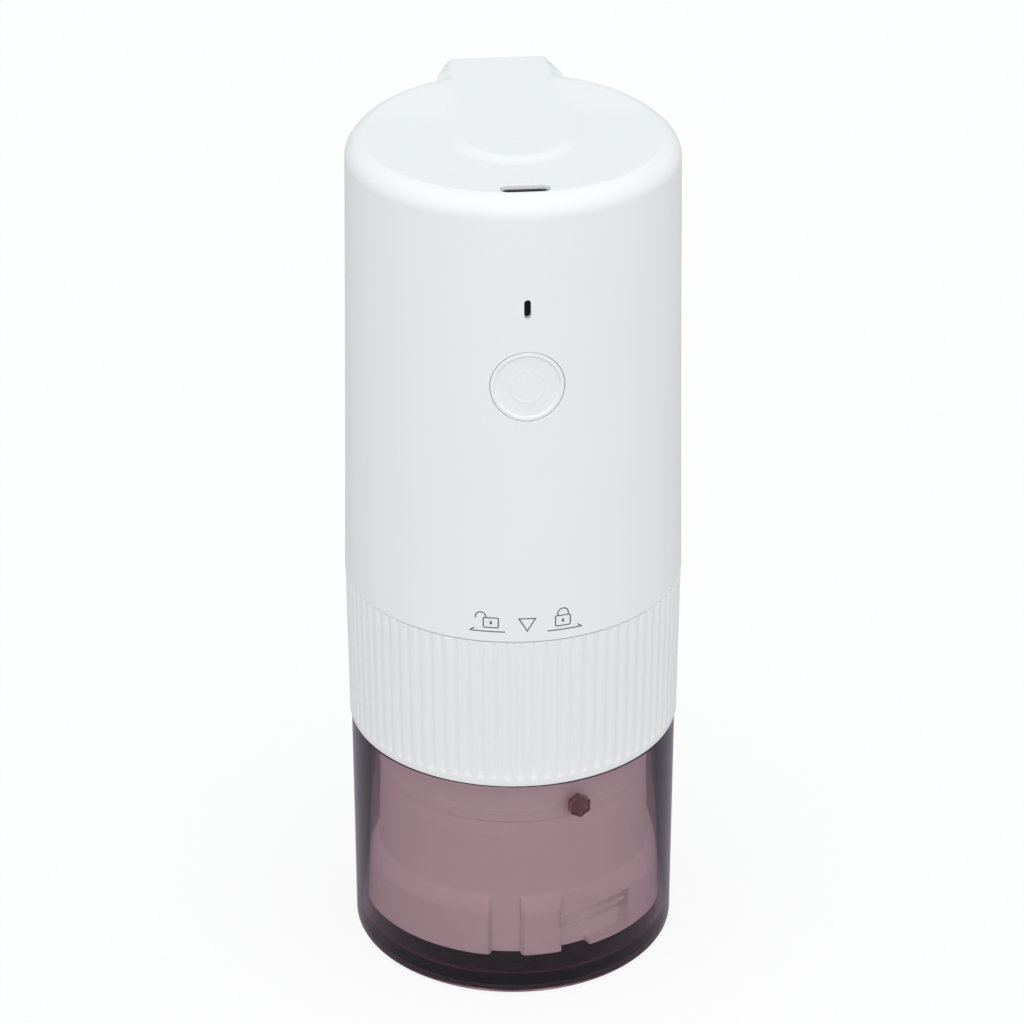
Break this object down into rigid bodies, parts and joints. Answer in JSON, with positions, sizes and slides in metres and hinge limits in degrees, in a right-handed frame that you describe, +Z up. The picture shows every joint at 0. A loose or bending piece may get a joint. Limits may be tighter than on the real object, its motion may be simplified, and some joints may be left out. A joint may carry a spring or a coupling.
{
  "type": "cordless burr grinder",
  "caption": "Cordless handheld burr grinder: a slim white motor body with a power button on a ribbed collar, over a clear tinted cup that takes the grounds.",
  "frame": {"origin": "centre of the foot pad's underside, where the grinder stands", "axes": "+Z up along the main axis through cup, burrs and motor; the power button faces -Y; +X is to the right seen from the button side"},
  "size_m": [0.0738, 0.0779, 0.1924],
  "materials": {
    "white_plastic": "fine satin moulded ABS, warm white",
    "collar_plastic": "satin moulded ABS, white, ribbed for grip",
    "tinted_plastic": "clear smoky plum plastic, polished",
    "foot_silicone": "matt dark silicone",
    "seal_silicone": "soft grey silicone",
    "burr_steel": "machined stainless steel",
    "shaft_steel": "ground steel",
    "screw_steel": "zinc-plated steel",
    "bush_bronze": "sintered bronze",
    "dial_plastic": "satin moulded plastic, light grey",
    "gear_nylon": "natural nylon",
    "gear_steel": "sintered steel",
    "motor_steel": "zinc-plated steel can",
    "black_plastic": "moulded black nylon",
    "chassis_plastic": "moulded dark ABS",
    "cell_wrap": "shrink sleeve, plain blue",
    "nickel": "nickel strip",
    "brass": "brass",
    "board_green": "glass-fibre board, green mask",
    "chip_black": "moulded black",
    "led_lens": "clear lens",
    "pipe_smoke": "smoked clear plastic",
    "switch_grey": "moulded grey"
  },
  "bodies": {
    "cup": {"cup": "tinted_plastic", "base_pad": "foot_silicone"},
    "cup_seal": {"cup_seal": "foot_silicone"},
    "head": {"collar": "collar_plastic", "hopper": "white_plastic", "burr_housing": "white_plastic", "ring_burr": "burr_steel", "burr_clip": "screw_steel", "upper_bush": "bush_bronze", "housing_screws": "screw_steel"},
    "adjuster": {"adjuster_dial": "dial_plastic"},
    "carriage": {"burr_carriage": "black_plastic", "lower_bush": "bush_bronze"},
    "burr": {"inner_burr": "burr_steel", "burr_shaft": "shaft_steel", "burr_nut": "screw_steel", "shaft_clip": "screw_steel", "driven_dog": "gear_nylon"},
    "hopper_seal": {"hopper_seal": "seal_silicone"},
    "motor_unit": {"body_shell": "white_plastic", "bottom_cover": "white_plastic", "cover_screws": "screw_steel", "gearbox_base": "black_plastic", "ring_gear": "gear_nylon", "motor_plate": "black_plastic", "gearbox_screws": "screw_steel", "output_bearing": "bush_bronze", "motor_can": "motor_steel", "motor_cap": "black_plastic", "motor_terminals": "brass", "chassis": "chassis_plastic", "battery_cell_left": "cell_wrap", "battery_cell_right": "cell_wrap", "cell_strip": "nickel", "main_board": "board_green", "board_components": "chip_black", "status_led": "led_lens", "light_pipe": "pipe_smoke", "usb_shell": "nickel", "usb_tongue": "chip_black", "tact_switch": "switch_grey"},
    "output": {"output_shaft": "shaft_steel", "planet_carrier": "gear_steel", "drive_dog": "gear_nylon"},
    "sun": {"sun_pinion": "gear_steel", "motor_shaft": "shaft_steel"},
    "planet_1": {"planet_gear_1": "gear_nylon"},
    "planet_2": {"planet_gear_2": "gear_nylon"},
    "planet_3": {"planet_gear_3": "gear_nylon"},
    "button": {"power_button": "white_plastic", "switch_plunger": "switch_grey"}
  },
  "joints": [
    {"name": "cup_pull", "type": "slide", "parent": "cup", "child": "cup_seal", "axis": [0, 0, 1], "range_m": [0, 0.06]},
    {"name": "cup_twist", "type": "hinge", "parent": "cup_seal", "child": "head", "pos_m": [0, 0, 0.0467], "axis": [0, 0, 1], "range_deg": [-18, 0]},
    {"name": "adjuster_turn", "type": "hinge", "parent": "head", "child": "adjuster", "pos_m": [0, 0, 0.02], "axis": [0, 0, 1], "range_deg": [-120, 120]},
    {"name": "carriage_slide", "type": "slide", "parent": "head", "child": "carriage", "axis": [0, 0, 1], "range_m": [-0.0005, 0.0005]},
    {"name": "burr_spin", "type": "hinge", "parent": "carriage", "child": "burr", "pos_m": [0, 0, 0.045], "axis": [0, 0, 1], "continuous": true},
    {"name": "unit_lift", "type": "slide", "parent": "head", "child": "hopper_seal", "axis": [0, 0, 1], "range_m": [0, 0.045]},
    {"name": "unit_twist", "type": "hinge", "parent": "hopper_seal", "child": "motor_unit", "pos_m": [0, 0, 0.0905], "axis": [0, 0, 1], "range_deg": [-20, 0]},
    {"name": "output_spin", "type": "hinge", "parent": "motor_unit", "child": "output", "pos_m": [0, 0, 0.09], "axis": [0, 0, 1], "continuous": true},
    {"name": "sun_spin", "type": "hinge", "parent": "motor_unit", "child": "sun", "pos_m": [0, 0, 0.11], "axis": [0, 0, 1], "continuous": true},
    {"name": "button_press", "type": "slide", "parent": "motor_unit", "child": "button", "axis": [0, 1, 0], "range_m": [0, 0.0006], "stiffness_N_per_m": 1500},
    {"name": "planet_1_spin", "type": "hinge", "parent": "output", "child": "planet_1", "pos_m": [0, 0.009, 0.105], "axis": [0, 0, 1], "continuous": true},
    {"name": "planet_2_spin", "type": "hinge", "parent": "output", "child": "planet_2", "pos_m": [-0.00779, -0.0045, 0.105], "axis": [0, 0, 1], "continuous": true},
    {"name": "planet_3_spin", "type": "hinge", "parent": "output", "child": "planet_3", "pos_m": [0.00779, -0.0045, 0.105], "axis": [0, 0, 1], "continuous": true}
  ],
  "couplings": [
    {"joint": "adjuster_turn", "follows": "carriage_slide", "rad_per_m": 4185},
    {"joint": "burr_spin", "follows": "output_spin", "ratio": 1},
    {"joint": "sun_spin", "follows": "output_spin", "ratio": 6},
    {"joint": "planet_1_spin", "follows": "output_spin", "ratio": -2.5},
    {"joint": "planet_2_spin", "follows": "output_spin", "ratio": -2.5},
    {"joint": "planet_3_spin", "follows": "output_spin", "ratio": -2.5}
  ]
}
